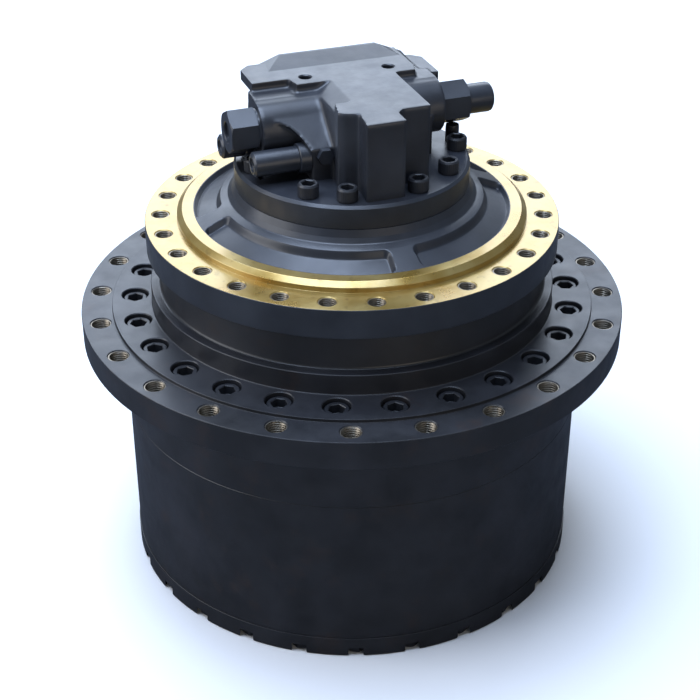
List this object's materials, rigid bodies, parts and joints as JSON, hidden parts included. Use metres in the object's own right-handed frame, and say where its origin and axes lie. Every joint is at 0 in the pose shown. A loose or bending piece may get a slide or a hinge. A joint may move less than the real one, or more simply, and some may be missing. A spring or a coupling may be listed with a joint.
{
  "type": "excavator final drive",
  "caption": "Planetary track drive with a flanged turning drum, tapped frame and sprocket flanges, and a hydraulic travel motor with a valve block on top.",
  "frame": {"origin": "centre of the frame flange's face", "axes": "+Z along the drum's axis towards the motor's rear cover, +X along the counterbalance spool towards its hexagon cap, +Y towards the hydraulic ports"},
  "size_m": [0.6695, 0.6696, 0.6348],
  "materials": {
    "casing_paint": "semi-gloss charcoal paint on cast iron",
    "drum_paint": "semi-gloss black paint on machined iron",
    "bolt_paint": "black painted over oxide",
    "hardened_steel": "ground and hardened steel, oiled",
    "cast_carrier": "machined ductile iron, oiled",
    "lapped_seal_iron": "lapped alloy iron",
    "seal_rubber": "matt nitrile rubber",
    "friction_lining": "sintered friction lining",
    "bronze": "machined bearing bronze"
  },
  "bodies": {
    "casing": {"motor_casing": "casing_paint", "rear_cover": "casing_paint", "rear_cover_bolts": "bolt_paint", "left_spool_plug": "casing_paint", "right_spool_cap": "casing_paint", "front_relief_valve": "casing_paint", "rear_relief_valve": "casing_paint", "gauge_plug": "casing_paint", "upper_bearing_inner_ring": "hardened_steel", "lower_bearing_inner_ring": "hardened_steel", "fixed_seal_ring": "lapped_seal_iron", "fixed_seal_cushion": "seal_rubber", "second_carrier": "cast_carrier", "second_planet_pins": "hardened_steel", "rear_shaft_bearing": "hardened_steel", "front_shaft_bearing": "hardened_steel", "valve_plate": "bronze", "swash_cradle": "bronze", "brake_shoulder_ring": "hardened_steel", "brake_steel_plate": "hardened_steel", "brake_disc_spring": "hardened_steel"},
    "drum": {"hub": "drum_paint", "hub_bolts": "bolt_paint", "ring_gear": "drum_paint", "end_cover": "drum_paint", "end_cover_bolts": "bolt_paint", "end_cover_plugs": "bolt_paint", "upper_bearing_outer_ring": "hardened_steel", "lower_bearing_outer_ring": "hardened_steel", "turning_seal_ring": "lapped_seal_iron", "turning_seal_cushion": "seal_rubber"},
    "upper_bearing_rollers": {"upper_bearing_rollers": "hardened_steel"},
    "lower_bearing_rollers": {"lower_bearing_rollers": "hardened_steel"},
    "fast_carrier": {"first_carrier": "cast_carrier", "first_planet_pins": "hardened_steel", "second_sun": "hardened_steel"},
    "motor_rotor": {"motor_shaft": "hardened_steel", "cylinder_block": "hardened_steel", "pistons": "hardened_steel", "brake_friction_plates": "friction_lining", "first_sun": "hardened_steel"},
    "swash_plate": {"swash_plate": "hardened_steel"},
    "brake_piston": {"brake_piston": "hardened_steel"},
    "counterbalance_spool": {"counterbalance_spool": "hardened_steel"},
    "first_planet_1": {"first_planet_1": "hardened_steel", "first_planet_rollers_1": "hardened_steel"},
    "first_planet_2": {"first_planet_2": "hardened_steel", "first_planet_rollers_2": "hardened_steel"},
    "first_planet_3": {"first_planet_3": "hardened_steel", "first_planet_rollers_3": "hardened_steel"},
    "second_planet_1": {"second_planet_1": "hardened_steel", "second_planet_rollers_1": "hardened_steel"},
    "second_planet_2": {"second_planet_2": "hardened_steel", "second_planet_rollers_2": "hardened_steel"},
    "second_planet_3": {"second_planet_3": "hardened_steel", "second_planet_rollers_3": "hardened_steel"},
    "second_planet_4": {"second_planet_4": "hardened_steel", "second_planet_rollers_4": "hardened_steel"}
  },
  "joints": [
    {"name": "output_spin", "type": "hinge", "parent": "casing", "child": "drum", "pos_m": [0, 0, 0], "axis": [0, 0, 1], "continuous": true},
    {"name": "upper_rollers_spin", "type": "hinge", "parent": "casing", "child": "upper_bearing_rollers", "pos_m": [0, 0, 0], "axis": [0, 0, 1], "continuous": true},
    {"name": "lower_rollers_spin", "type": "hinge", "parent": "casing", "child": "lower_bearing_rollers", "pos_m": [0, 0, 0], "axis": [0, 0, 1], "continuous": true},
    {"name": "fast_carrier_spin", "type": "hinge", "parent": "casing", "child": "fast_carrier", "pos_m": [0, 0, 0], "axis": [0, 0, 1], "continuous": true},
    {"name": "motor_spin", "type": "hinge", "parent": "casing", "child": "motor_rotor", "pos_m": [0, 0, 0], "axis": [0, 0, 1], "continuous": true},
    {"name": "second_planet_1_spin", "type": "hinge", "parent": "casing", "child": "second_planet_1", "pos_m": [0.154, 0, -0.284], "axis": [0, 0, 1], "continuous": true},
    {"name": "second_planet_2_spin", "type": "hinge", "parent": "casing", "child": "second_planet_2", "pos_m": [0, 0.154, -0.284], "axis": [0, 0, 1], "continuous": true},
    {"name": "second_planet_3_spin", "type": "hinge", "parent": "casing", "child": "second_planet_3", "pos_m": [-0.154, 0, -0.284], "axis": [0, 0, 1], "continuous": true},
    {"name": "second_planet_4_spin", "type": "hinge", "parent": "casing", "child": "second_planet_4", "pos_m": [0, -0.154, -0.284], "axis": [0, 0, 1], "continuous": true},
    {"name": "first_planet_1_spin", "type": "hinge", "parent": "fast_carrier", "child": "first_planet_1", "pos_m": [0.147, 0, -0.395], "axis": [0, 0, 1], "continuous": true},
    {"name": "first_planet_2_spin", "type": "hinge", "parent": "fast_carrier", "child": "first_planet_2", "pos_m": [-0.0735, 0.12731, -0.395], "axis": [0, 0, 1], "continuous": true},
    {"name": "first_planet_3_spin", "type": "hinge", "parent": "fast_carrier", "child": "first_planet_3", "pos_m": [-0.0735, -0.12731, -0.395], "axis": [0, 0, 1], "continuous": true},
    {"name": "swash_tilt", "type": "hinge", "parent": "casing", "child": "swash_plate", "pos_m": [0, 0, -0.04931], "axis": [0, 1, 0], "range_deg": [0, 7]},
    {"name": "brake_release", "type": "slide", "parent": "casing", "child": "brake_piston", "axis": [0, 0, 1], "range_m": [0, 0.002], "deforming": ["brake_disc_spring"]},
    {"name": "counterbalance_shift", "type": "slide", "parent": "casing", "child": "counterbalance_spool", "axis": [1, 0, 0], "range_m": [-0.008, 0.008]}
  ],
  "couplings": [
    {"joint": "upper_rollers_spin", "follows": "output_spin", "ratio": 0.51781},
    {"joint": "lower_rollers_spin", "follows": "output_spin", "ratio": 0.51781},
    {"joint": "fast_carrier_spin", "follows": "output_spin", "ratio": -3.6316},
    {"joint": "motor_spin", "follows": "output_spin", "ratio": -24.937},
    {"joint": "second_planet_1_spin", "follows": "output_spin", "ratio": 2.76},
    {"joint": "second_planet_2_spin", "follows": "output_spin", "ratio": 2.76},
    {"joint": "second_planet_3_spin", "follows": "output_spin", "ratio": 2.76},
    {"joint": "second_planet_4_spin", "follows": "output_spin", "ratio": 2.76},
    {"joint": "first_planet_1_spin", "follows": "output_spin", "ratio": 11.836},
    {"joint": "first_planet_2_spin", "follows": "output_spin", "ratio": 11.836},
    {"joint": "first_planet_3_spin", "follows": "output_spin", "ratio": 11.836}
  ]
}
